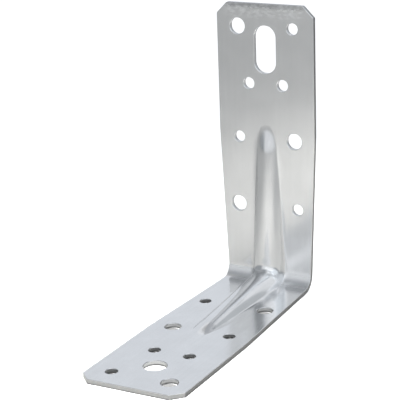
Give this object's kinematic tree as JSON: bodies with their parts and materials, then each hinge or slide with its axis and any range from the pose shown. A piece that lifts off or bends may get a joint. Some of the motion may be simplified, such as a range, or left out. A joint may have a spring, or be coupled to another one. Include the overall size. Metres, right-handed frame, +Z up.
{
  "type": "ribbed angle bracket",
  "caption": "Right-angle bracket folded from one galvanised sheet, with a pressed rib across its fold and staggered fixing holes in both legs.",
  "frame": {"origin": "bottom centre of the bracket's box: on the base leg's underside, midway across the sheet and midway along the base leg", "axes": "+X across the sheet; +Y out of the upright leg's back, with the base leg pointing towards -Y; +Z up along the upright leg"},
  "size_m": [0.045, 0.125, 0.125],
  "materials": {
    "galvanised_steel": "galvanised"
  },
  "bodies": {
    "root": {"angle_bracket": "galvanised_steel"}
  },
  "joints": []
}
